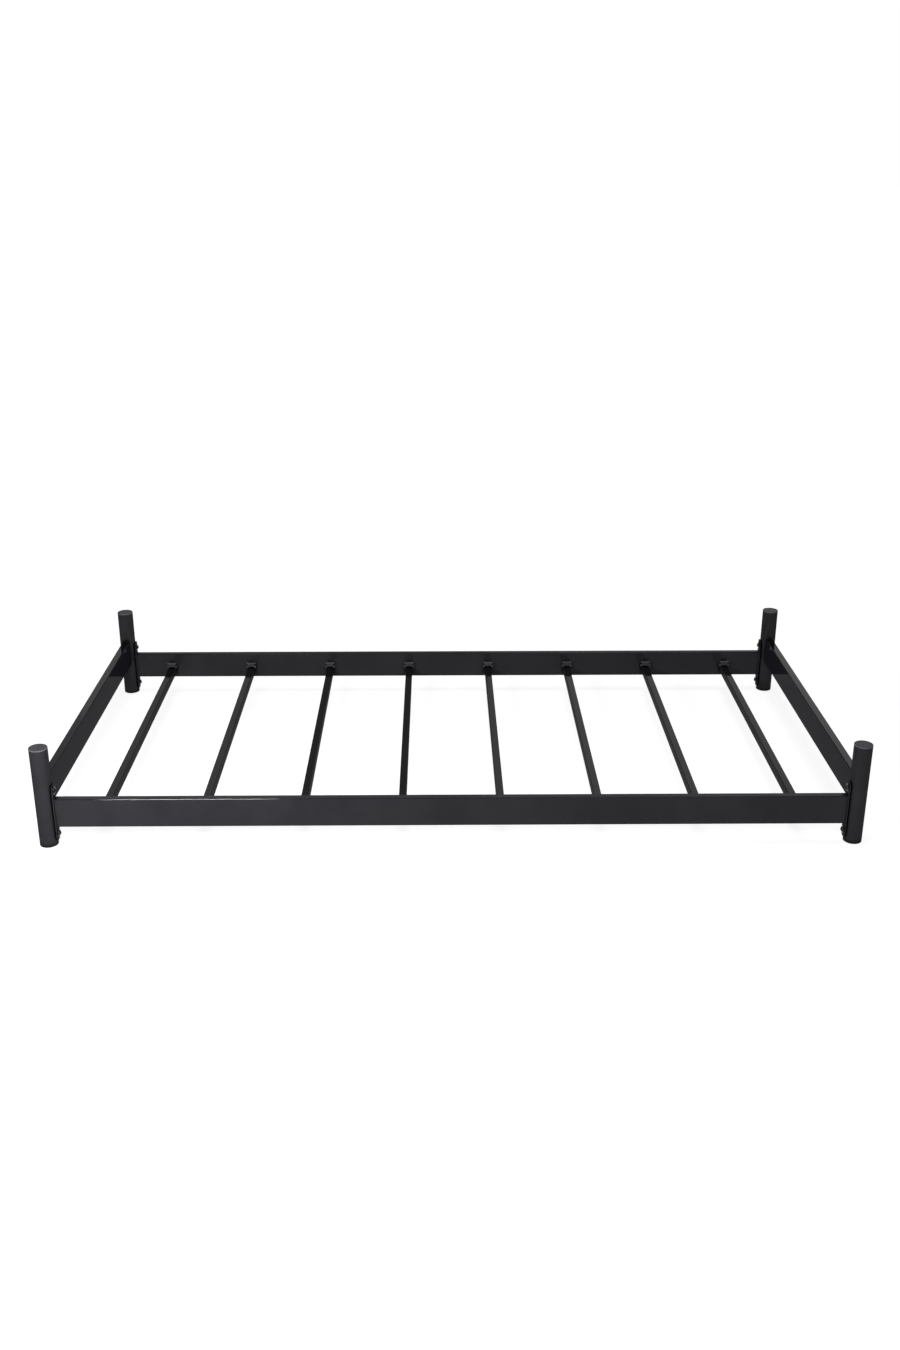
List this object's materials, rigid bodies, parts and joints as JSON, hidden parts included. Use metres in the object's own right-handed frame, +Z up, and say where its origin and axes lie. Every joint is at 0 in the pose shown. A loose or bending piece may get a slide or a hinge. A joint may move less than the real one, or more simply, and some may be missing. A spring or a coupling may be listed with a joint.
{
  "type": "metal bed frame",
  "caption": "Low single bed frame in black steel tube: round posts, rectangular rails on bolted end plates, and box-tube slats in moulded holders.",
  "frame": {"origin": "on the floor at the middle of the frame's footprint", "axes": "+X along the bed from the head end to the foot end, +Y to the sleeper's left, +Z up"},
  "size_m": [1.9946, 1.0144, 0.2565],
  "materials": {
    "frame_steel": "satin black powder coat",
    "slat_steel": "satin black powder coat",
    "cap_plastic": "fine moulded grain, black",
    "glide_plastic": "fine moulded grain, black",
    "holder_nylon": "moulded, charcoal",
    "fastener": "black zinc plate",
    "insert_steel": "bright zinc plate"
  },
  "bodies": {
    "root": {"post_head_left": "frame_steel", "post_head_right": "frame_steel", "post_foot_left": "frame_steel", "post_foot_right": "frame_steel", "cap_head_left": "cap_plastic", "cap_head_right": "cap_plastic", "cap_foot_left": "cap_plastic", "cap_foot_right": "cap_plastic", "glide_head_left": "glide_plastic", "glide_head_right": "glide_plastic", "glide_foot_left": "glide_plastic", "glide_foot_right": "glide_plastic", "end_rail_head": "frame_steel", "end_rail_foot": "frame_steel", "side_rail_left": "frame_steel", "side_rail_right": "frame_steel", "end_plate_head_left": "frame_steel", "end_plate_head_right": "frame_steel", "end_plate_foot_left": "frame_steel", "end_plate_foot_right": "frame_steel", "slat_1": "slat_steel", "slat_2": "slat_steel", "slat_3": "slat_steel", "slat_4": "slat_steel", "slat_5": "slat_steel", "slat_6": "slat_steel", "slat_7": "slat_steel", "slat_8": "slat_steel", "slat_holder_left_1": "holder_nylon", "slat_holder_left_2": "holder_nylon", "slat_holder_left_3": "holder_nylon", "slat_holder_left_4": "holder_nylon", "slat_holder_left_5": "holder_nylon", "slat_holder_left_6": "holder_nylon", "slat_holder_left_7": "holder_nylon", "slat_holder_left_8": "holder_nylon", "slat_holder_right_1": "holder_nylon", "slat_holder_right_2": "holder_nylon", "slat_holder_right_3": "holder_nylon", "slat_holder_right_4": "holder_nylon", "slat_holder_right_5": "holder_nylon", "slat_holder_right_6": "holder_nylon", "slat_holder_right_7": "holder_nylon", "slat_holder_right_8": "holder_nylon", "rail_bolts": "fastener", "washers": "fastener", "threaded_inserts": "insert_steel"}
  },
  "joints": []
}
